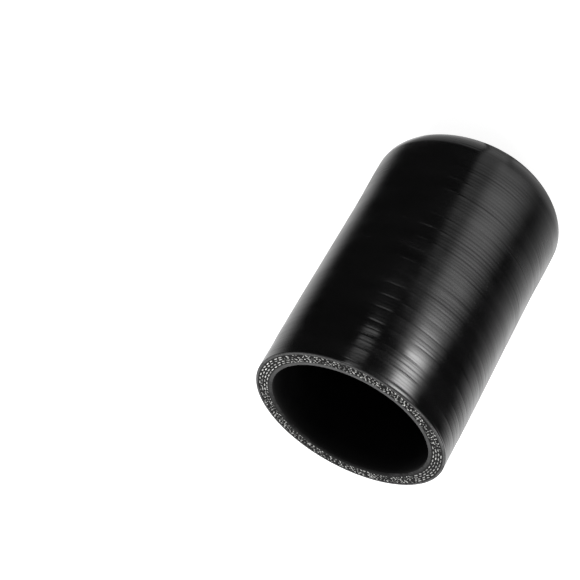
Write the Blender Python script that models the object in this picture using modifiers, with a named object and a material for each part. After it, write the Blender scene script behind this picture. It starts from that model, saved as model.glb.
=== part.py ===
"""Silicone hose end cap, standing on its closed end with the mouth up.

Metres, +Z up along the cap's axis. The origin is the centre of the flat on the
closed end. The cap is one moulding, so it is one turned solid.
"""

import math

import bpy

# Driving sizes
bore_diameter = 0.051
wall_thickness = 0.0055
overall_length = 0.100
end_thickness = 0.0065

# Rounded shoulder between the side and the closed end
base_flat_radius = 0.013
shoulder_height = 0.0138
shoulder_fullness = 2.1  # 2 is an ellipse, more is squarer

# Slight swell where the wrapped layers turn over the shoulder
swell_height = 0.0006
swell_from_end = 0.0146
swell_reach = 0.020

# Tape marks: a shallow groove at each turn of the tape that bound the cap while it cured
wrap_pitch = 0.0053
wrap_groove_width = 0.0008
wrap_groove_depth = 0.00012

# Trimmed rim at the mouth
rim_edge = 0.0003

# Fineness of the turned surface
turn_steps = 72
shoulder_steps = 12
edge_steps = 2

silicone_colour = (0.012, 0.012, 0.013, 1.0)
silicone_roughness = 0.38

bore_radius = bore_diameter / 2
outer_radius = bore_radius + wall_thickness
inner_shoulder_height = shoulder_height * bore_radius / outer_radius


def clear_scene():
    """Removes what the start-up scene holds."""
    for item in list(bpy.data.objects):
        bpy.data.objects.remove(item, do_unlink=True)


def quarter_turns(steps):
    """Angles from 0 to 90 degrees, both ends included."""
    return [math.pi / 2 * step / steps for step in range(steps + 1)]


def rounded_corner(flat_radius, side_radius, height):
    """Points (radius, height) down a full corner, from the side in to the flat."""
    power = 2 / shoulder_fullness
    reach = side_radius - flat_radius
    points = []
    for angle in quarter_turns(shoulder_steps):
        out = max(math.cos(angle), 0.0) ** power
        down = math.sin(angle) ** power
        points.append((flat_radius + reach * out, height * (1 - down)))
    return points


def swell_at(height):
    """How far the side stands out at a height above the closed end."""
    offset = (height - swell_from_end) / swell_reach
    if abs(offset) >= 1:
        return 0.0
    return swell_height * math.cos(math.pi / 2 * offset) ** 2


def inner_side():
    """The floor and the bore, from the axis out and up to the rim."""
    corner = rounded_corner(base_flat_radius, bore_radius, inner_shoulder_height)
    points = [(0.0, end_thickness)]
    points += [(radius, end_thickness + height) for radius, height in reversed(corner)]
    return points


def rim():
    """The trimmed end face, with both of its edges slightly broken."""
    inner = []
    outer = []
    for angle in quarter_turns(edge_steps):
        across = rim_edge * (1 - math.cos(angle))
        up = overall_length - rim_edge * (1 - math.sin(angle))
        inner.append((bore_radius + across, up))
        outer.append((outer_radius - across, up))
    return inner + outer[::-1]


def groove_heights():
    """Heights of the tape marks, from the rim down to the shoulder."""
    heights = []
    height = overall_length - wrap_pitch
    while height > shoulder_height + wrap_groove_width:
        heights.append(height)
        height -= wrap_pitch
    return heights


def outer_side():
    """The side with its tape marks, the shoulder and the flat, down from the rim to the axis."""
    points = []
    for middle in groove_heights():
        for offset, depth in ((0.5, 0.0), (0.0, wrap_groove_depth), (-0.5, 0.0)):
            height = middle + offset * wrap_groove_width
            points.append((outer_radius + swell_at(height) - depth, height))
    reach = outer_radius - base_flat_radius
    for radius, height in rounded_corner(base_flat_radius, outer_radius, shoulder_height):
        share = (radius - base_flat_radius) / reach
        points.append((radius + share * swell_at(height), height))
    points.append((0.0, 0.0))
    return points


def make_material(name, colour, roughness):
    """A plain coat for one piece."""
    material = bpy.data.materials.new(name)
    material.use_nodes = True
    shader = material.node_tree.nodes["Principled BSDF"]
    shader.inputs["Base Color"].default_value = colour
    shader.inputs["Roughness"].default_value = roughness
    shader.inputs["Metallic"].default_value = 0.0
    return material


def turned_piece(name, profile, material, collection):
    """Turns an open profile, given as (radius, height), about the Z axis."""
    mesh = bpy.data.meshes.new(name)
    edges = [(index, index + 1) for index in range(len(profile) - 1)]
    mesh.from_pydata([(radius, 0.0, height) for radius, height in profile], edges, [])
    piece = bpy.data.objects.new(name, mesh)
    collection.objects.link(piece)
    mesh.materials.append(material)
    turn = piece.modifiers.new("Turn", "SCREW")
    turn.axis = "Z"
    turn.angle = math.tau
    turn.steps = turn_steps
    turn.render_steps = turn_steps
    turn.use_merge_vertices = True
    turn.merge_threshold = 0.00001
    turn.use_smooth_shade = True
    return piece


def build_cap():
    collection = bpy.data.collections.new("silicone_hose_end_cap")
    bpy.context.scene.collection.children.link(collection)
    silicone = make_material("black_silicone", silicone_colour, silicone_roughness)
    profile = inner_side() + rim() + outer_side()
    turned_piece("end_cap", profile, silicone, collection)


clear_scene()
build_cap()
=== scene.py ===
import bisect
import math
import random
import bmesh
import bpy
from mathutils import Matrix, Vector, noise


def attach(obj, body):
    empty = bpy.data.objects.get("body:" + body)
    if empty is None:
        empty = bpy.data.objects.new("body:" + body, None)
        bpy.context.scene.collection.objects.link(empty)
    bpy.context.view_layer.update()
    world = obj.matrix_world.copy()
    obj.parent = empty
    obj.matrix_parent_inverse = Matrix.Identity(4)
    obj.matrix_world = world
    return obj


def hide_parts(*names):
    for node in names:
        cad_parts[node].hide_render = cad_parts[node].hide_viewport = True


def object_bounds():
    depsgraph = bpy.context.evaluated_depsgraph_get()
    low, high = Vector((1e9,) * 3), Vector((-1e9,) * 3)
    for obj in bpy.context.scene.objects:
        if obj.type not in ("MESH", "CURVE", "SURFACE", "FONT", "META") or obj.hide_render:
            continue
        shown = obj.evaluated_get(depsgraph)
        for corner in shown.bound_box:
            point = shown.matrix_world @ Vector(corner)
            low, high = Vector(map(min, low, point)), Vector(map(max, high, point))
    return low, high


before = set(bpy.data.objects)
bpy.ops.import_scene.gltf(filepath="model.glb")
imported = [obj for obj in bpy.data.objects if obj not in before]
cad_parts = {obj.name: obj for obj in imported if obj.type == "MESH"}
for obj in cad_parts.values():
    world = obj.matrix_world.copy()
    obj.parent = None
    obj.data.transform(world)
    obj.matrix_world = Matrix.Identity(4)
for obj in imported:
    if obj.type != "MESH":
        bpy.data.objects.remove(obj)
cadLow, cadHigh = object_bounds()

# Sizes read from the frame, in metres
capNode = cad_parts["end_cap"]
capHeight = cadHigh.z
rimRadii = [v.co.xy.length for v in capNode.data.vertices if v.co.z > capHeight - 1e-5]
rimEdge = 0.0003  # the broken edge on each side of the trimmed rim
boreRadius = min(rimRadii) - rimEdge
sideRadius = max(rimRadii) + rimEdge
boxRadius = cadHigh.x
wall = sideRadius - boreRadius
print("frame: bore", round(boreRadius * 2000, 2), "mm, outside", round(sideRadius * 2000, 2), "mm")


def smooth(low, high, value):
    t = min(1.0, max(0.0, (value - low) / (high - low)))
    return t * t * (3 - 2 * t)


def blend(first, second, share):
    return first + (second - first) * share


def addObject(name, bm):
    mesh = bpy.data.meshes.new(name)
    bm.to_mesh(mesh)
    bm.free()
    item = bpy.data.objects.new(name, mesh)
    bpy.context.scene.collection.objects.link(item)
    return item


# Small helpers for node materials

noiseRange = (0.3, 0.7)  # most of a noise texture lies between these values


def newMaterial(name):
    material = bpy.data.materials.new(name)
    material.use_nodes = True
    return material, material.node_tree.nodes, material.node_tree.links


def addNode(nodes, kind, **settings):
    item = nodes.new("ShaderNode" + kind)
    for key, value in settings.items():
        if key in item.inputs:
            item.inputs[key].default_value = value
        else:
            setattr(item, key, value)
    return item


def addNoise(nodes, links, vector, scale, detail, roughness=0.5):
    item = addNode(nodes, "TexNoise", Scale=scale, Detail=detail, Roughness=roughness)
    links.new(vector, item.inputs["Vector"])
    return item.outputs["Fac"]


def plug(links, value, socket):
    if isinstance(value, (int, float)):
        socket.default_value = value
    else:
        links.new(value, socket)


def addRange(nodes, links, value, low, high, toLow, toHigh, kind="LINEAR"):
    item = nodes.new("ShaderNodeMapRange")
    item.interpolation_type = kind
    plug(links, value, item.inputs["Value"])
    plug(links, low, item.inputs["From Min"])
    plug(links, high, item.inputs["From Max"])
    plug(links, toLow, item.inputs["To Min"])
    plug(links, toHigh, item.inputs["To Max"])
    return item.outputs["Result"]


def addMath(nodes, links, operation, first, second=0.0):
    item = nodes.new("ShaderNodeMath")
    item.operation = operation
    plug(links, first, item.inputs[0])
    plug(links, second, item.inputs[1])
    return item.outputs[0]


def addColourMix(nodes, links, amount, first, second):
    item = nodes.new("ShaderNodeMix")
    item.data_type = "RGBA"
    plug(links, amount, item.inputs["Factor"])
    sockets = [socket for socket in item.inputs if socket.type == "RGBA"]
    for colour, socket in zip((first, second), sockets):
        if isinstance(colour, tuple):
            socket.default_value = colour + (1.0,)
        else:
            links.new(colour, socket)
    return [out for out in item.outputs if out.type == "RGBA"][0]


def addBump(nodes, links, height, distance, before=None):
    item = addNode(nodes, "Bump", Strength=1.0, Distance=distance)
    links.new(height, item.inputs["Height"])
    if before is not None:
        links.new(before, item.inputs["Normal"])
    return item.outputs["Normal"]


def addGlow(nodes, links, strength):
    # The material only gives light, so its plain shader goes
    nodes.remove(nodes["Principled BSDF"])
    glow = nodes.new("ShaderNodeEmission")
    plug(links, strength, glow.inputs["Strength"])
    links.new(glow.outputs[0], nodes["Material Output"].inputs["Surface"])


def objectPlace(nodes, links):
    place = nodes.new("ShaderNodeTexCoord").outputs["Object"]
    parts = nodes.new("ShaderNodeSeparateXYZ")
    links.new(place, parts.inputs[0])
    return place, parts.outputs


def addRadius(nodes, links, axes):
    squares = [addMath(nodes, links, "POWER", axes[name], 2.0) for name in ("X", "Y")]
    return addMath(nodes, links, "SQRT", addMath(nodes, links, "ADD", *squares))


def addWrapPlace(nodes, links, axes, run, stretch):
    # A place whose patterns are drawn out round the cap, as the tape left them
    place = nodes.new("ShaderNodeCombineXYZ")
    links.new(axes["X"], place.inputs["X"])
    links.new(axes["Y"], place.inputs["Y"])
    links.new(addMath(nodes, links, "MULTIPLY", run, stretch), place.inputs["Z"])
    return place.outputs[0]


# The outside: satin black silicone, a little glossier towards the mouth

skinFinish = {
    "dark": (0.0030, 0.0030, 0.0031),
    "light": (0.0046, 0.0046, 0.0048),
    "patchScale": 90.0,
    "ior": 1.43,
    "sideRun": 0.085,         # the finish changes over this length of the side, from the mouth down
    "roughMouth": 0.17,
    "roughEnd": 0.23,
    "roughSpread": 0.05,
    "cellSpread": 0.10,       # gloss differs from turn to turn of the tape
    "cellStretch": 3.5,
    "cellScale": 62.0,
    "specular": 0.5,
    "creaseSpecular": 0.40,   # how much of that the dull bottoms of the marks lose
    "streakStretch": 20.0,
    "streakScale": 55.0,
    "streakDistance": 0.000005,
    "streakMouth": 0.6,       # shares of that height at the mouth and near the closed end
    "streakEnd": 0.8,
    "grainScale": 1900.0,
    "grainDistance": 0.000003,
}


def makeSkinMaterial():
    material, nodes, links = newMaterial("siliconeSkin")
    shader = nodes["Principled BSDF"]
    shader.inputs["IOR"].default_value = skinFinish["ior"]
    place, axes = objectPlace(nodes, links)
    run = addNode(nodes, "Attribute", attribute_name="wrapRun").outputs["Fac"]
    dull = addNode(nodes, "Attribute", attribute_name="dull").outputs["Fac"]
    along = addWrapPlace(nodes, links, axes, run, skinFinish["streakStretch"])
    streaks = addNoise(nodes, links, along, skinFinish["streakScale"], 3.0, 0.6)
    turns = addWrapPlace(nodes, links, axes, run, skinFinish["cellStretch"])
    cells = addNoise(nodes, links, turns, skinFinish["cellScale"], 1.0)
    patches = addNoise(nodes, links, place, skinFinish["patchScale"], 2.0)
    grain = addNoise(nodes, links, place, skinFinish["grainScale"], 2.0)
    links.new(addColourMix(nodes, links, patches, skinFinish["dark"], skinFinish["light"]),
              shader.inputs["Base Color"])
    sideRun = skinFinish["sideRun"]
    rough = addRange(nodes, links, run, 0.0, sideRun, skinFinish["roughMouth"], skinFinish["roughEnd"])
    for pattern, width in ((streaks, skinFinish["roughSpread"]), (cells, skinFinish["cellSpread"])):
        spread = addRange(nodes, links, pattern, *noiseRange, -width / 2, width / 2)
        rough = addMath(nodes, links, "ADD", rough, spread)
    links.new(rough, shader.inputs["Roughness"])
    specular = addRange(nodes, links, dull, 0.0, 1.0, skinFinish["specular"],
                        skinFinish["specular"] - skinFinish["creaseSpecular"])
    links.new(specular, shader.inputs["Specular IOR Level"])
    rising = addRange(nodes, links, run, 0.0, sideRun, skinFinish["streakMouth"], skinFinish["streakEnd"])
    relief = addMath(nodes, links, "MULTIPLY", streaks, rising)
    bump = addBump(nodes, links, relief, skinFinish["streakDistance"])
    bump = addBump(nodes, links, grain, skinFinish["grainDistance"], bump)
    links.new(bump, shader.inputs["Normal"])
    return material


boreFinish = {
    "dark": (0.0006, 0.0006, 0.0007),
    "light": (0.0016, 0.0016, 0.0017),
    "mouth": (0.012, 0.012, 0.012),   # painted light, lighter just inside the rim where light falls into the mouth
    "mouthLightDepth": 0.0022,
    "patchScale": 120.0,
    "patchDistance": 0.00004,
    "roughLow": 0.5,
    "roughHigh": 0.65,
    "specular": 0.05,
}


def makeBoreMaterial():
    material, nodes, links = newMaterial("boreSkin")
    shader = nodes["Principled BSDF"]
    shader.inputs["Specular IOR Level"].default_value = boreFinish["specular"]
    place, axes = objectPlace(nodes, links)
    patches = addNoise(nodes, links, place, boreFinish["patchScale"], 3.0)
    plain = addColourMix(nodes, links, patches, boreFinish["dark"], boreFinish["light"])
    start = capHeight - boreFinish["mouthLightDepth"]
    # painted light: the bore's colour lightens towards the rim
    mouthLight = addRange(nodes, links, axes["Z"], start, capHeight, 0.0, 1.0, "SMOOTHSTEP")
    links.new(addColourMix(nodes, links, mouthLight, plain, boreFinish["mouth"]), shader.inputs["Base Color"])
    rough = addRange(nodes, links, patches, *noiseRange, boreFinish["roughLow"], boreFinish["roughHigh"])
    links.new(rough, shader.inputs["Roughness"])
    links.new(addBump(nodes, links, patches, boreFinish["patchDistance"]), shader.inputs["Normal"])
    return material


# The trimmed face: plain rubber in the cover and the liner, with painted shade and painted sheen on the liner,
# dark gaps between the yarns

cutFinish = {
    "gap": (0.013, 0.013, 0.013),
    "rubberDark": (0.035, 0.035, 0.035),
    "rubberLight": (0.125, 0.125, 0.125),
    # the liner's colours: painted shade on one side, painted sheen on the other
    "linerShadedSide": (0.008, 0.008, 0.008),
    "linerLitSide": (0.092, 0.092, 0.092),
    "specular": 0.04,
    "linerShare": 0.175,       # shares of the wall, from the bore out
    "linerSlant": 0.045,       # the liner is this much thicker on its lighter side
    "coverShare": 0.835,
    "softShare": 0.03,
    "shadedSideTurn": -0.25,         # turns the side in painted shade a little from +Y, towards -X
    "litShares": (0.95, -0.05),  # share of the lit liner colour, from the side with painted sheen to the side with painted shade
    "litMottle": 0.2,
    "roughness": 0.8,
    "grainScale": 1300.0,
    "patchScale": 260.0,
    "mottleRange": (0.7, 1.3),
    "grainDistance": 0.00006,
}


def makeCutMaterial():
    material, nodes, links = newMaterial("cutRubber")
    shader = nodes["Principled BSDF"]
    shader.inputs["Roughness"].default_value = cutFinish["roughness"]
    shader.inputs["Specular IOR Level"].default_value = cutFinish["specular"]
    place, axes = objectPlace(nodes, links)
    share = addRange(nodes, links, addRadius(nodes, links, axes), boreRadius, sideRadius, 0.0, 1.0)
    soft, slim = cutFinish["softShare"], cutFinish["linerSlant"]
    edge = cutFinish["coverShare"]
    cover = addRange(nodes, links, share, edge - soft, edge + soft, 0.0, 1.0)
    # The liner is painted dark as painted shade on the side where the edge of the bore drops, and lighter as
    # painted sheen on the other side
    across = addMath(nodes, links, "MULTIPLY", axes["X"], cutFinish["shadedSideTurn"])
    slant = addMath(nodes, links, "ADD", axes["Y"], across)
    shifted = addRange(nodes, links, slant, -boreRadius, boreRadius, -slim, slim)
    shifted = addMath(nodes, links, "ADD", share, shifted)
    edge = cutFinish["linerShare"]
    liner = addRange(nodes, links, shifted, edge - soft, edge + soft, 1.0, 0.0)
    grain = addNoise(nodes, links, place, cutFinish["grainScale"], 3.0, 0.65)
    patches = addNoise(nodes, links, place, cutFinish["patchScale"], 2.0)
    both = addMath(nodes, links, "ADD", grain, patches)
    mottle = addRange(nodes, links, both, *cutFinish["mottleRange"], 0.0, 1.0)
    rubber = addColourMix(nodes, links, mottle, cutFinish["rubberDark"], cutFinish["rubberLight"])
    litShare = addRange(nodes, links, slant, -boreRadius, boreRadius, *cutFinish["litShares"])
    spread = cutFinish["litMottle"]
    litShare = addMath(nodes, links, "ADD", litShare, addRange(nodes, links, mottle, 0.0, 1.0, -spread, spread))
    inner = addColourMix(nodes, links, litShare, cutFinish["linerShadedSide"], cutFinish["linerLitSide"])
    colour = addColourMix(nodes, links, cover, cutFinish["gap"], rubber)
    links.new(addColourMix(nodes, links, liner, colour, inner), shader.inputs["Base Color"])
    links.new(addBump(nodes, links, grain, cutFinish["grainDistance"]), shader.inputs["Normal"])
    return material


yarnFinish = {
    "dark": (0.09, 0.09, 0.088),
    "light": (0.74, 0.74, 0.72),
    "patchScale": 1500.0,
    "patchShade": 0.2,
    "roughness": 0.7,
    "specular": 0.15,
    "fibreScale": 9000.0,
    "fibreDistance": 0.00004,
}


def makeYarnMaterial():
    material, nodes, links = newMaterial("cutYarn")
    shader = nodes["Principled BSDF"]
    shader.inputs["Roughness"].default_value = yarnFinish["roughness"]
    shader.inputs["Specular IOR Level"].default_value = yarnFinish["specular"]
    place = objectPlace(nodes, links)[0]
    shade = addNode(nodes, "Attribute", attribute_name="shade").outputs["Fac"]
    patches = addNoise(nodes, links, place, yarnFinish["patchScale"], 2.0)
    spread = yarnFinish["patchShade"]
    mottle = addRange(nodes, links, patches, *noiseRange, -spread, spread)
    amount = addMath(nodes, links, "ADD", shade, mottle)
    links.new(addColourMix(nodes, links, amount, yarnFinish["dark"], yarnFinish["light"]),
              shader.inputs["Base Color"])
    fibres = addNoise(nodes, links, place, yarnFinish["fibreScale"], 2.0)
    links.new(addBump(nodes, links, fibres, yarnFinish["fibreDistance"]), shader.inputs["Normal"])
    return material


# The cap: one turned shell with the marks that the tape left.
# A "run" is a distance along the outside, from just under the rim down the side and the shoulder.

shell = {
    "around": 168,
    "rowSpacing": 0.00023,
    "rowPull": 0.8,         # how far the rows crowd towards the tape marks, below 1
    "sideSteps": 120,
    "cornerSteps": 60,
    "boreSteps": 12,
    "boreCornerSteps": 16,
    "baseFlat": 0.013,
    "shoulderHeight": 0.0138,
    "shoulderOut": 1.16,    # powers of the shoulder's curve, 1 for both is an ellipse
    "shoulderDown": 1.04,
    "endThickness": 0.0065,
    "mouthTuck": 0.00012,   # the side draws in over the last stretch before the rim
    "mouthReach": 0.018,
    "taper": 0.0016,
    "swellHeight": 0.00033,
    "swellFromEnd": 0.0146,
    "swellReach": 0.020,
    "cutRecess": 0.00005,
    "boreEdge": 0.0003,
    "boreEdgeDrop": 0.00003,
    "boreEdgeSteps": 4,
    "wornReach": 0.0009,
    "wornHeight": 0.002,    # the wear stays within this height under the rim
    "wornDrop": 0.00044,    # how much further the bore's edge drops on its worn side
    "wearAndShadeRange": (-0.6, 1.0),
    "wornPower": 1.5,
    "wornRows": (0.55, 0.8, 1.05),  # extra rows across the worn edge, as shares of its reach
    "endLean": 0.0006,      # the closed end is this much shorter on one side
    "leanRange": (-0.25, 0.5),
    "reliefStart": 0.0008,  # runs over which the marks set in under the rim and die out at the flat
    "reliefFade": (0.008, 0.002),
    "slowNoise": (60, 190, 0.5),  # across the cap, along its side, share of the unevenness
    "wideNoise": (20, 40, 1.0),
}

tape = {
    "seed": 11,
    "pitch": 0.0048,        # one turn of the tape; its overlap leaves a second mark halfway
    "pitchSpread": 0.10,
    "first": -0.0060,
    "last": 0.0960,
    "marks": {              # down the side: the tape's edge, the edge of the turn under it, creases between
        "edge": {"share": 0.0, "depth": 0.000036, "half": 0.00016, "dull": 1.0},
        "upperCrease": {"share": 0.25, "depth": 0.000004, "half": 0.00014, "dull": 0.7},
        "overlap": {"share": 0.5, "depth": 0.000018, "half": 0.00018, "dull": 0.9},
        "lowerCrease": {"share": 0.75, "depth": 0.000004, "half": 0.00014, "dull": 0.7},
    },
    "shareSpread": 0.07,
    "depthSpread": (0.5, 1.2),
    "dullSpread": (0.4, 1.2),
    "dullWidth": 1.3,       # the dull strip along a mark is this much wider than its groove
    "softened": 0.16,       # depth of the marks away from the rim
    "softenRange": (0.004, 0.034),
    "faintSide": 0.85,      # how far the marks die away on the side where the skin is smoothest
    "faintRange": (0.3, 0.85),
    "crispMiddle": math.radians(197),  # the stretch round the cap where the edges stay sharp all the way down
    "crispHalf": math.radians(13),
    "crispRange": (0.018, 0.026),
    "crispWidth": 0.8,
    "crispDepths": (1.3, 2.2),
    "crispDepthRange": (0.035, 0.055),
    "bulge": 0.000044,      # how far the skin stands out in the middle of each turn
    "bulgeSpread": (0.6, 1.3),
    "bulgeLoss": 0.6,
    "bulgeRange": (0.014, 0.036),
    "force": 0.75,          # how hard the tape pressed, and how much that differs from place to place
    "forceSpread": 0.9,
    "forceNoise": (1.8, 170),
    "fadeLoss": 0.7,
    "fadeRange": (0.080, 0.094),
    "wander": 0.00022,
    "wanderNoise": (1.2, 130),
    "unevenness": 0.00007,
}

plies = {
    "rings": (0.293, 0.436, 0.587, 0.722),  # shares of the wall, from the bore out
    "troughHalf": 0.00026,
    "troughDepth": 0.00014,
    "troughShape": ((-1.4, 0), (-0.7, 0.8), (0, 1), (0.7, 0.8), (1.4, 0)),
}

# The shell's zones, in the order of its materials
zoneSkin, zoneBore, zoneCut = 0, 1, 2


def girthAt(height):
    # How far the side stands out from a straight tube, from the tuck at the rim to the swell near the end
    depth = capHeight - height
    tuck = shell["mouthTuck"] * (2 * smooth(0.0, shell["mouthReach"], depth) - 1)
    offset = (height - shell["swellFromEnd"]) / shell["swellReach"]
    swell = 0.0 if abs(offset) >= 1 else shell["swellHeight"] * math.cos(math.pi / 2 * offset) ** 2
    return tuck + shell["taper"] * depth + swell


def cornerPoints(flat, side, height, steps):
    points = []
    for step in range(steps + 1):
        angle = math.pi / 2 * step / steps
        across = max(math.cos(angle), 0.0) ** shell["shoulderOut"]
        points.append((flat + (side - flat) * across, height * (1 - math.sin(angle) ** shell["shoulderDown"])))
    return points


def sideLine():
    # The plain outer side, from just under the rim down to the edge of the flat
    top = capHeight - rimEdge
    flat, corner = shell["baseFlat"], shell["shoulderHeight"]
    points = []
    for step in range(shell["sideSteps"]):
        height = blend(top, corner, step / shell["sideSteps"])
        points.append((sideRadius + girthAt(height), height))
    for radius, height in cornerPoints(flat, sideRadius, corner, shell["cornerSteps"]):
        share = (radius - flat) / (sideRadius - flat)
        points.append((radius + share * girthAt(height), height))
    return points


def lineRuns(points):
    runs = [0.0]
    for before, after in zip(points, points[1:]):
        runs.append(runs[-1] + math.dist(before, after))
    return runs


def pointAt(points, runs, run):
    index = min(max(bisect.bisect_right(runs, run) - 1, 0), len(runs) - 2)
    share = (run - runs[index]) / max(runs[index + 1] - runs[index], 1e-9)
    return tuple(blend(a, b, share) for a, b in zip(points[index], points[index + 1]))


def tapeMarks():
    chance = random.Random(tape["seed"])
    wide = tape["shareSpread"]
    marks = []
    run = tape["first"]
    while run < tape["last"]:
        gap = tape["pitch"] * (1 + chance.uniform(-1, 1) * tape["pitchSpread"])
        bulge = tape["bulge"] * chance.uniform(*tape["bulgeSpread"])
        for kind in tape["marks"].values():
            place = run + gap * (kind["share"] + (chance.uniform(-wide, wide) if kind["share"] else 0.0))
            marks.append((place, kind["depth"] * chance.uniform(*tape["depthSpread"]), kind["half"], bulge,
                          kind["dull"] * chance.uniform(*tape["dullSpread"])))
        run += gap
    return marks


def noiseAt(x, y, along, scales):
    return noise.noise(Vector((x * scales[0], y * scales[0], along * scales[1])))


def marksAt(marks, turn):
    # The tape winds round the cap, so after a full turn each mark meets the next one of its kind
    share = turn / math.tau
    x, y = math.cos(turn), math.sin(turn)
    kinds = len(tape["marks"])
    faint = 1 - tape["faintSide"] * smooth(*tape["faintRange"], math.sin(turn - math.pi))
    crispHere = smooth(1.0, 0.5, abs(turn - tape["crispMiddle"]) / tape["crispHalf"])
    across, along = tape["forceNoise"]
    found = []
    for number, (mark, later) in enumerate(zip(marks, marks[kinds:])):
        place, depth, half, bulge, dull = (blend(a, b, share) for a, b in zip(mark, later))
        drift = noiseAt(x, y, place, tape["wanderNoise"])
        press = noise.noise(Vector((x * across + 9, y * across, place * along)))
        force = tape["force"] + tape["forceSpread"] * press
        force *= 1 - tape["fadeLoss"] * smooth(*tape["fadeRange"], place)
        sharp = crispHere * smooth(*tape["crispRange"], place)
        sharp *= 0 if number % kinds else min(1.0, max(0.0, force * 1.2))
        crisp = blend(1.0, tape["softened"], smooth(*tape["softenRange"], place) * (1 - sharp))
        crispDepth = blend(*tape["crispDepths"], smooth(*tape["crispDepthRange"], place))
        depth *= blend(max(0.15, force) * crisp, crispDepth, sharp) * faint
        half *= blend(crisp ** -0.25, tape["crispWidth"], sharp)
        bulge *= 1 - tape["bulgeLoss"] * smooth(*tape["bulgeRange"], place)
        found.append((place + drift * tape["wander"], depth, half, bulge * max(0.3, force) * faint,
                      dull * min(1.0, max(0.2, force)) * faint ** 0.25))
    return found


def pulledRun(marks, places, run):
    # Moves a row towards the nearer of the marks above and below it
    index = min(max(bisect.bisect_right(places, run), 1), len(places) - 1)
    above, below = marks[index - 1], marks[index]
    share = (run - above[0]) / max(below[0] - above[0], 1e-6)
    share = min(1.0, max(0.0, share))
    pull = shell["rowPull"] * math.sin(math.tau * share) / math.tau
    return run - pull * (below[0] - above[0])


def skinRelief(marks, places, run):
    # Each turn of the tape leaves one soft bulge, from the mark of its edge to the next one
    kinds = len(tape["marks"])
    before = min(max(bisect.bisect_right(places, run) - 1, 0), len(places) - kinds - 1)
    edge = before - before % kinds
    turn = marks[edge:edge + kinds + 1]
    share = min(1.0, max(0.0, (run - turn[0][0]) / (turn[-1][0] - turn[0][0])))
    height = turn[0][3] * (4 * share * (1 - share) - 0.67)  # as much below the plain side as above it
    dullest = 0.0
    for place, depth, half, _, dull in turn:
        away = (run - place) / half
        height -= depth * math.exp(-away ** 2)
        dullest = max(dullest, dull * math.exp(-(away / tape["dullWidth"]) ** 2))
    return height, dullest


def cutLine():
    # The trimmed face, from the bore out, with a shallow trough at each ring of yarn
    top = capHeight - shell["cutRecess"]
    edge, drop, steps = shell["boreEdge"], shell["boreEdgeDrop"], shell["boreEdgeSteps"]
    points = []
    for step in range(steps + 1):
        angle = math.pi / 2 * step / steps
        points.append((boreRadius + edge * (1 - math.cos(angle)), top - drop * (1 - math.sin(angle))))
    points += [(boreRadius + shell["wornReach"] * share, top) for share in shell["wornRows"]]
    for share in plies["rings"]:
        middle = boreRadius + wall * share
        for offset, depth in plies["troughShape"]:
            points.append((middle + offset * plies["troughHalf"], top - depth * plies["troughDepth"]))
    outer = sideRadius + girthAt(capHeight)
    points.append((outer - rimEdge, capHeight))
    points.append((outer - rimEdge * 0.3, capHeight - rimEdge * 0.3))
    return points


def boreLine():
    flat, thick = shell["baseFlat"], shell["endThickness"]
    corner = shell["shoulderHeight"] * boreRadius / sideRadius
    points = [(0.0, thick), (flat / 2, thick)]
    for radius, height in reversed(cornerPoints(flat, boreRadius, corner, shell["boreCornerSteps"])):
        points.append((radius, thick + height))
    low, top = points[-1][1], capHeight - shell["cutRecess"] - shell["boreEdgeDrop"]
    steps = shell["boreSteps"]
    points += [(boreRadius, blend(low, top, step / steps)) for step in range(1, steps)]
    return points


def shellProfile(side, sideRuns):
    # Points, runs and zones, from the middle of the floor round to the middle of the closed end
    skinLength, flat = sideRuns[-1], shell["baseFlat"]
    rowCount = round(skinLength / shell["rowSpacing"])
    rows = [skinLength * row / rowCount for row in range(rowCount + 1)]
    bore, cut = boreLine(), cutLine()
    skin = [pointAt(side, sideRuns, row) for row in rows]
    foot = [(flat / 2, 0.0), (0.0, 0.0)]
    runs = [-1.0] * (len(bore) + len(cut)) + rows + [skinLength + flat * share for share in (0.5, 1)]
    zones = [zoneBore] * len(bore) + [zoneCut] * len(cut) + [zoneSkin] * (len(skin) + len(foot))
    return zip(bore + cut + skin + foot, runs, zones)


def turnProfile(bm, profile, runLayer, zoneLayer):
    before = None
    for (radius, height), run, zone in profile:
        vertex = bm.verts.new((radius, 0.0, height))
        vertex[runLayer] = run
        vertex[zoneLayer] = zone
        if before is not None:
            bm.edges.new((before, vertex))
        before = vertex
    bmesh.ops.spin(bm, geom=bm.verts[:] + bm.edges[:], cent=(0, 0, 0), axis=(0, 0, 1), dvec=(0, 0, 0),
                   angle=math.tau, steps=shell["around"], use_merge=True, use_normal_flip=False,
                   use_duplicate=False)
    bmesh.ops.remove_doubles(bm, verts=bm.verts[:], dist=1e-6)
    bmesh.ops.recalc_face_normals(bm, faces=bm.faces[:])
    bm.normal_update()


def wearBoreEdge(vertex):
    inward = 1 - (vertex.co.xy.length - boreRadius) / shell["wornReach"]
    if vertex.co.z > capHeight - shell["wornHeight"] and inward > 0:
        wearAndShade = smooth(*shell["wearAndShadeRange"], vertex.co.y / boreRadius)
        vertex.co.z -= shell["wornDrop"] * min(1.0, inward) ** shell["wornPower"] * wearAndShade


def unevennessAt(place, run):
    slowAcross, slowAlong, slowShare = shell["slowNoise"]
    wideAcross, wideAlong, wideShare = shell["wideNoise"]
    slow = noise.noise(Vector((place.x * slowAcross, place.y * slowAcross, run * slowAlong)))
    wide = noise.noise(Vector((place.x * wideAcross + 7, place.y * wideAcross, run * wideAlong)))
    return tape["unevenness"] * (slow * slowShare + wide * wideShare)


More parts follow.
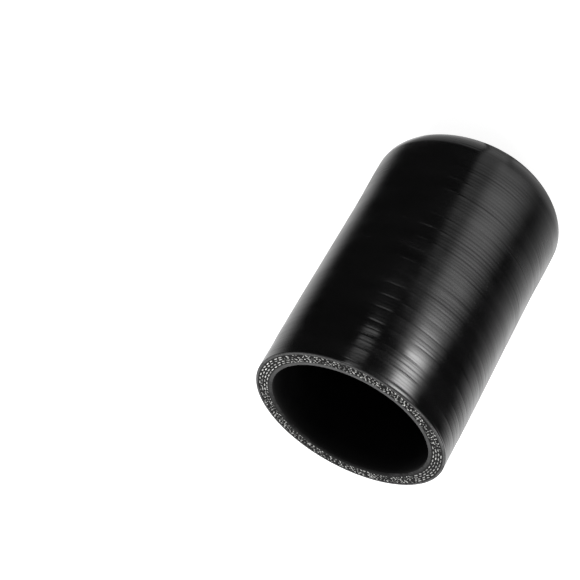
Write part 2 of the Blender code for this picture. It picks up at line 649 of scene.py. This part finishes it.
def shapeSkin(bm, side, sideRuns, marks, runLayer, dullLayer, zoneLayer):
    skinLength, around = sideRuns[-1], shell["around"]
    fadeFrom, fadeTo = (skinLength - reach for reach in shell["reliefFade"])
    byTurn = {}
    for vertex in bm.verts:
        wearBoreEdge(vertex)
        if vertex[zoneLayer] != zoneSkin:
            continue
        lean = shell["endLean"] * smooth(*shell["leanRange"], vertex.co.x / sideRadius)
        if vertex[runLayer] > skinLength:
            vertex.co.z += lean
            continue
        run = vertex[runLayer]
        turn = math.atan2(vertex.co.x, -vertex.co.y) + math.pi
        key = round(turn / math.tau * around) % around
        if key not in byTurn:
            found = marksAt(marks, key * math.tau / around)
            byTurn[key] = (found, [mark[0] for mark in found])
        edge = smooth(0.0, shell["reliefStart"], run) * (1 - smooth(fadeFrom, fadeTo, run))
        run = blend(run, pulledRun(*byTurn[key], run), edge)
        radius, vertex.co.z = pointAt(side, sideRuns, run)
        vertex.co.x, vertex.co.y = (radius * value for value in vertex.co.xy.normalized())
        vertex[runLayer] = run
        relief, dull = skinRelief(*byTurn[key], run)
        vertex[dullLayer] = dull * edge
        vertex.co += vertex.normal * (relief + unevennessAt(vertex.co, run)) * edge
        vertex.co.z += lean * smooth(shell["shoulderHeight"], 0.0, vertex.co.z)
        reach = vertex.co.xy.length
        if reach > boxRadius:
            vertex.co.x *= boxRadius / reach
            vertex.co.y *= boxRadius / reach
        vertex.co.z = max(vertex.co.z, 0.0)
    bm.normal_update()


def makeShell():
    side = sideLine()
    sideRuns = lineRuns(side)
    bm = bmesh.new()
    runLayer = bm.verts.layers.float.new("wrapRun")
    dullLayer = bm.verts.layers.float.new("dull")
    zoneLayer = bm.verts.layers.int.new("zone")
    turnProfile(bm, shellProfile(side, sideRuns), runLayer, zoneLayer)
    marks = tapeMarks()
    shapeSkin(bm, side, sideRuns, marks, runLayer, dullLayer, zoneLayer)
    for face in bm.faces:
        face.smooth = True
        face.material_index = min(vertex[zoneLayer] for vertex in face.verts)
    piece = addObject("capShell", bm)
    for material in (makeSkinMaterial(), makeBoreMaterial(), makeCutMaterial()):
        piece.data.materials.append(material)
    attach(piece, "root")
    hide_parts("end_cap")
    print("cap shell:", len(piece.data.polygons), "faces,", len(marks), "tape marks")


# The cut yarn ends: four rings of short dashes in the trimmed face.
# In the neat stretches they lie end to end, and elsewhere the knit shows its loops.

yarn = {
    "seed": 5,
    "perRing": 72,
    "jitter": 0.08,        # shares of the room that one yarn has along its ring
    "depth": 0.00016,
    "shadePower": 0.8,
    "length": 0.00188,
    "lengthSpread": (0.85, 1.12),
    "width": 0.00037,
    "widthSpread": (0.85, 1.15),
    "turnSpread": 0.06,
    "least": 0.25,         # shade of the darkest neat yarns
    "neatShift": 0.08,     # the neat stretches lie a little to the front of the widest points
    "tangledFrom": 0.42,   # how far from the neat stretches the knit starts to show its loops
    "tangledEdge": 0.12,
    "tangledLength": 0.00095,
    "tangledLengthSpread": (0.5, 1.4),
    "tangledWidth": 0.00036,
    "tangledWidthSpread": (0.7, 1.4),
    "tangledShade": 1.0,
    "tangledShadePower": 1.1,
    "tangledTurn": math.radians(48),
    "tangledTurnSpread": (0.5, 1.4),
    "tangledShift": 0.00022,
    "tangledApart": 0.26,
    "tangledJitter": 0.12,
    "tangledLoss": 0.08,   # share of the loops that are cut away
    "clumpNoise": (11, 700),
    "clumpLoss": 0.25,
    "clumpShade": 0.4,
    "paintedSideShade": 0.62,     # the yarn is greyer on one side, as painted shade
    "wearAndShadeRange": (0.3, -0.9),
}


def yarnDash(bm, layer, pattern, shade, angle, radius, long, broad, turn):
    placed = (Matrix.Rotation(angle, 4, "Z")
              @ Matrix.Translation((radius, 0, capHeight - yarn["depth"] * 0.95))
              @ Matrix.Rotation(turn, 4, "Z")
              @ Matrix.Diagonal((broad / 2, long / 2, yarn["depth"] * 0.9, 1)))
    for item in bmesh.ops.duplicate(bm, geom=pattern)["geom"]:
        if isinstance(item, bmesh.types.BMVert):
            item.co = placed @ item.co
            item[layer] = shade


def addNeatYarn(bm, layer, pattern, chance, shade, angle, radius):
    long = yarn["length"] * chance.uniform(*yarn["lengthSpread"])
    broad = yarn["width"] * chance.uniform(*yarn["widthSpread"])
    turn = chance.uniform(-yarn["turnSpread"], yarn["turnSpread"])
    yarnDash(bm, layer, pattern, shade, angle, radius, long, broad, turn)


def addTangledYarn(bm, layer, pattern, chance, clump, angle, slot, radius):
    for side in (-1, 1):
        if chance.uniform(0.0, 1.0) < yarn["tangledLoss"] - clump * yarn["clumpLoss"]:
            continue
        long = yarn["tangledLength"] * chance.uniform(*yarn["tangledLengthSpread"])
        broad = yarn["tangledWidth"] * chance.uniform(*yarn["tangledWidthSpread"])
        turn = side * yarn["tangledTurn"] * chance.uniform(*yarn["tangledTurnSpread"])
        shift = yarn["tangledShift"] * chance.uniform(-1, 1)
        jitter = chance.uniform(-yarn["tangledJitter"], yarn["tangledJitter"])
        where = angle + slot * (yarn["tangledApart"] * side + jitter)
        shade = chance.uniform(0.0, 1.0) ** yarn["tangledShadePower"] + clump * yarn["clumpShade"]
        yarnDash(bm, layer, pattern, yarn["tangledShade"] * shade, where, radius + shift, long, broad, turn)


def makeYarnEnds():
    chance = random.Random(yarn["seed"])
    bm = bmesh.new()
    layer = bm.verts.layers.float.new("shade")
    bead = bmesh.ops.create_uvsphere(bm, u_segments=8, v_segments=5, radius=1.0)["verts"]
    pattern = bm.verts[:] + bm.edges[:] + bm.faces[:]
    slot = math.tau / yarn["perRing"]
    for ringShare in plies["rings"]:
        radius = boreRadius + wall * ringShare
        phase = chance.uniform(0, math.tau)
        for number in range(yarn["perRing"]):
            angle = phase + slot * (number + chance.uniform(-yarn["jitter"], yarn["jitter"]))
            tangled = abs(math.sin(angle) + yarn["neatShift"])
            tangled += chance.uniform(-yarn["tangledEdge"], yarn["tangledEdge"])
            shade = chance.uniform(0.0, 1.0) ** yarn["shadePower"]
            clump = noiseAt(math.cos(angle), math.sin(angle), radius, yarn["clumpNoise"])
            # painted shade: the neat yarns are greyer towards -X
            wearAndShade = blend(1.0, yarn["paintedSideShade"], smooth(*yarn["wearAndShadeRange"], math.cos(angle)))
            if tangled < yarn["tangledFrom"]:
                shade = (yarn["least"] + (1 - yarn["least"]) * shade) * wearAndShade
                addNeatYarn(bm, layer, pattern, chance, shade, angle, radius)
            else:
                addTangledYarn(bm, layer, pattern, chance, clump, angle, slot, radius)
    bmesh.ops.delete(bm, geom=bead, context="VERTS")
    for face in bm.faces:
        face.smooth = True
    piece = addObject("yarnEnds", bm)
    piece.data.materials.append(makeYarnMaterial())
    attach(piece, "root")
    print("yarn ends:", len(piece.data.polygons), "faces")


# Floor

floor = {"size": 6.0, "drop": 0.0001, "colour": 0.40, "glow": 0.93}


def makeFloor():
    bm = bmesh.new()
    bmesh.ops.create_grid(bm, x_segments=1, y_segments=1, size=floor["size"] / 2)
    plane = addObject("floor", bm)
    plane.location.z = cadLow.z - floor["drop"]
    material, nodes, links = newMaterial("paleFloor")
    nodes.remove(nodes["Principled BSDF"])
    matte = addNode(nodes, "BsdfDiffuse", Color=(floor["colour"],) * 3 + (1.0,))
    glow = addNode(nodes, "Emission", Strength=floor["glow"])
    both = nodes.new("ShaderNodeAddShader")
    links.new(matte.outputs[0], both.inputs[0])
    links.new(glow.outputs[0], both.inputs[1])
    links.new(both.outputs[0], nodes["Material Output"].inputs["Surface"])
    plane.data.materials.append(material)
    plane.visible_glossy = False
    plane.visible_shadow = False


def glossOnly(card):
    for flag in ("visible_camera", "visible_diffuse", "visible_shadow", "visible_transmission"):
        setattr(card, flag, False)


# The reflector: a dark round board just under the floor that only the gloss sees.
# Its light patches are laid out by where they show on the side of the cap: "low" gives their four
# edges (start, full, full, end) near the closed end and "high" near the mouth, in degrees round the
# cap from its -Y side towards +X, and "strength" goes from the closed end to the mouth. A "fade"
# gives where on the board a patch starts and is full, and its least share. A "spot" gives where on
# the board it starts, is full, starts to fall and ends, and it has one "power" all over.
reflector = {
    "radius": 1.5,
    "drop": 0.002,
    "lowReach": 0.050,
    "highReach": 0.200,
    "patches": {
        "right": {"low": (-105, -72, -74, -27), "high": (-105, -66, -66, -46), "strength": (1.36, 1.45),
                  "fade": (0.026, 0.044, 0.25)},
        "left": {"low": (62, 81, 85, 125), "high": (57, 74, 85, 120), "strength": (0.92, 1.04)},
        "main": {"low": (-36, -12, -9, 3), "high": (-27, -16, -8, 1), "strength": (2.6, 3.1),
                 "fade": (0.036, 0.066, 0.0)},
        "lamp": {"low": (-23, -12, -10, -4), "high": (-23, -12, -10, -4),
                 "spot": (0.158, 0.208, 0.228, 0.265), "power": 14.5},
        "fill": {"low": (-8, -2, 10, 13), "high": (-8, -3, 1, 6), "strength": (1.0, 0.1),
                 "fade": (0.024, 0.036, 0.2)},
        "sole": {"low": (-62, -24, -10, -3), "high": (-62, -24, -10, -3),
                 "spot": (0.020, 0.030, 0.036, 0.056), "power": 0.65},
        "glint": {"low": (10, 13, 18, 21), "high": (10, 13, 18, 21),
                  "spot": (0.190, 0.202, 0.214, 0.226), "power": 3.4},
        "foot": {"low": (12, 16, 100, 120), "high": (12, 16, 100, 120),
                 "spot": (0.008, 0.028, 0.040, 0.046), "power": 0.70},
    },
}


def addPatch(nodes, links, angle, reach, height, patch):
    pairs = zip(patch["low"], patch["high"])
    edges = [addRange(nodes, links, height, 0.0, 1.0, low, high) for low, high in pairs]
    rise = addRange(nodes, links, angle, edges[0], edges[1], 0.0, 1.0, "SMOOTHSTEP")
    fall = addRange(nodes, links, angle, edges[2], edges[3], 1.0, 0.0, "SMOOTHSTEP")
    band = addMath(nodes, links, "MULTIPLY", rise, fall)
    if "fade" in patch:
        start, full, least = patch["fade"]
        shown = addRange(nodes, links, reach, start, full, least, 1.0, "SMOOTHSTEP")
        band = addMath(nodes, links, "MULTIPLY", band, shown)
    if "spot" in patch:
        start, full, stop, end = patch["spot"]
        shown = addRange(nodes, links, reach, start, full, 0.0, 1.0, "SMOOTHSTEP")
        band = addMath(nodes, links, "MULTIPLY", band, shown)
        shown = addRange(nodes, links, reach, stop, end, 1.0, 0.0, "SMOOTHSTEP")
        band = addMath(nodes, links, "MULTIPLY", band, shown)
        return addMath(nodes, links, "MULTIPLY", band, patch["power"])
    strength = addRange(nodes, links, height, 0.0, 1.0, *patch["strength"])
    return addMath(nodes, links, "MULTIPLY", band, strength)


def makeReflector():
    bm = bmesh.new()
    bmesh.ops.create_circle(bm, cap_ends=True, segments=64, radius=reflector["radius"])
    board = addObject("reflector", bm)
    board.location.z = cadLow.z - reflector["drop"]
    material, nodes, links = newMaterial("reflector")
    axes = objectPlace(nodes, links)[1]
    reach = addRadius(nodes, links, axes)
    back = addMath(nodes, links, "MULTIPLY", axes["Y"], -1.0)
    turn = addMath(nodes, links, "DEGREES", addMath(nodes, links, "ARCTAN2", axes["X"], back))
    # A mirror turns by half of what it shows, and the side stands at its own radius from the axis
    twice = addMath(nodes, links, "SUBTRACT", addMath(nodes, links, "MULTIPLY", reach, 2.0), sideRadius)
    twice = addMath(nodes, links, "MAXIMUM", twice, sideRadius)
    angle = addMath(nodes, links, "DIVIDE", addMath(nodes, links, "MULTIPLY", turn, reach), twice)
    height = addRange(nodes, links, reach, reflector["lowReach"], reflector["highReach"], 0.0, 1.0)
    total = 0.0
    for patch in reflector["patches"].values():
        total = addMath(nodes, links, "ADD", total, addPatch(nodes, links, angle, reach, height, patch))
    addGlow(nodes, links, total)
    board.data.materials.append(material)
    glossOnly(board)


# A narrow standing light that only the slopes of the tape marks catch
edgeLight = {"from": 27.0, "to": 38.0, "distance": 0.30, "height": 0.13, "steps": 8, "strength": 5.0}


def makeEdgeLight():
    bm = bmesh.new()
    low, high = (math.radians(edgeLight[end]) for end in ("from", "to"))
    start = bm.verts.new((math.sin(low) * edgeLight["distance"], -math.cos(low) * edgeLight["distance"], 0))
    bmesh.ops.spin(bm, geom=[start], cent=(0, 0, 0), axis=(0, 0, 1), dvec=(0, 0, 0), angle=high - low,
                   steps=edgeLight["steps"], use_merge=False, use_normal_flip=False, use_duplicate=False)
    raised = bmesh.ops.extrude_edge_only(bm, edges=bm.edges[:])
    tops = [item for item in raised["geom"] if isinstance(item, bmesh.types.BMVert)]
    bmesh.ops.translate(bm, verts=tops, vec=(0, 0, edgeLight["height"]))
    card = addObject("edgeLight", bm)
    material, nodes, links = newMaterial("edgeLight")
    addGlow(nodes, links, edgeLight["strength"])
    card.data.materials.append(material)
    glossOnly(card)


sky = {"given": 0.35, "seen": 1.0}  # what it gives to matt surfaces, and how bright it looks


def makeWorld():
    world = bpy.data.worlds.new("studio")
    world.use_nodes = True
    nodes, links = world.node_tree.nodes, world.node_tree.links
    shade = nodes["Background"]
    rays = nodes.new("ShaderNodeLightPath")
    seen = addMath(nodes, links, "MAXIMUM", rays.outputs["Is Camera Ray"], rays.outputs["Is Glossy Ray"])
    seen = addMath(nodes, links, "MAXIMUM", seen, rays.outputs["Is Transmission Ray"])
    links.new(addRange(nodes, links, seen, 0.0, 1.0, sky["given"], sky["seen"]), shade.inputs["Strength"])
    shade.inputs["Color"].default_value = (1, 1, 1, 1)
    bpy.context.scene.world = world


lamps = {
    "key": {"place": (0.25, 0.75, 0.85), "size": 0.7, "watts": 16.0},
    "side": {"place": (-0.9, 0.2, 0.55), "size": 0.6, "watts": 6.0},
}


def makeLamps():
    for name, lamp in lamps.items():
        data = bpy.data.lights.new(name, "AREA")
        data.shape = "DISK"
        data.size = lamp["size"]
        data.energy = lamp["watts"]
        light = bpy.data.objects.new(name, data)
        light.location = lamp["place"]
        aim = Vector((0, 0, capHeight / 2)) - light.location
        light.rotation_euler = aim.to_track_quat("-Z", "Y").to_euler()
        light.visible_camera = False
        bpy.context.scene.collection.objects.link(light)


cameraSetup = {
    "imageSide": 580,
    "focalPixels": 1500.0,
    "mouthPixel": (348.58, 421.37),
    "pixelsPerRadius": 105.4,
    "tilt": math.radians(30.183),
    "roll": math.radians(211.58),
    "sensor": 36.0,
    "clip": (0.01, 20.0),
}


def makeCamera():
    data = bpy.data.cameras.new("camera")
    data.sensor_width = cameraSetup["sensor"]
    data.lens = cameraSetup["sensor"] * cameraSetup["focalPixels"] / cameraSetup["imageSide"]
    data.clip_start, data.clip_end = cameraSetup["clip"]
    turned = (Matrix.Rotation(math.pi / 2 - cameraSetup["tilt"], 3, "X")
              @ Matrix.Rotation(cameraSetup["roll"], 3, "Z"))
    middle = cameraSetup["imageSide"] / 2
    scale = sideRadius / cameraSetup["pixelsPerRadius"]
    across, down = cameraSetup["mouthPixel"]
    mouth = Vector(((across - middle) * scale, (middle - down) * scale, -cameraSetup["focalPixels"] * scale))
    place = Vector((0, 0, capHeight)) - turned @ mouth
    camera = bpy.data.objects.new("camera", data)
    camera.matrix_world = Matrix.Translation(place) @ turned.to_4x4()
    bpy.context.scene.collection.objects.link(camera)
    bpy.context.scene.camera = camera
    print("camera at", [round(value, 4) for value in place])


bpy.context.scene.view_settings.view_transform = "Standard"
makeShell()
makeYarnEnds()
makeFloor()
makeReflector()
makeEdgeLight()
makeWorld()
makeLamps()
makeCamera()
print("studio ready")
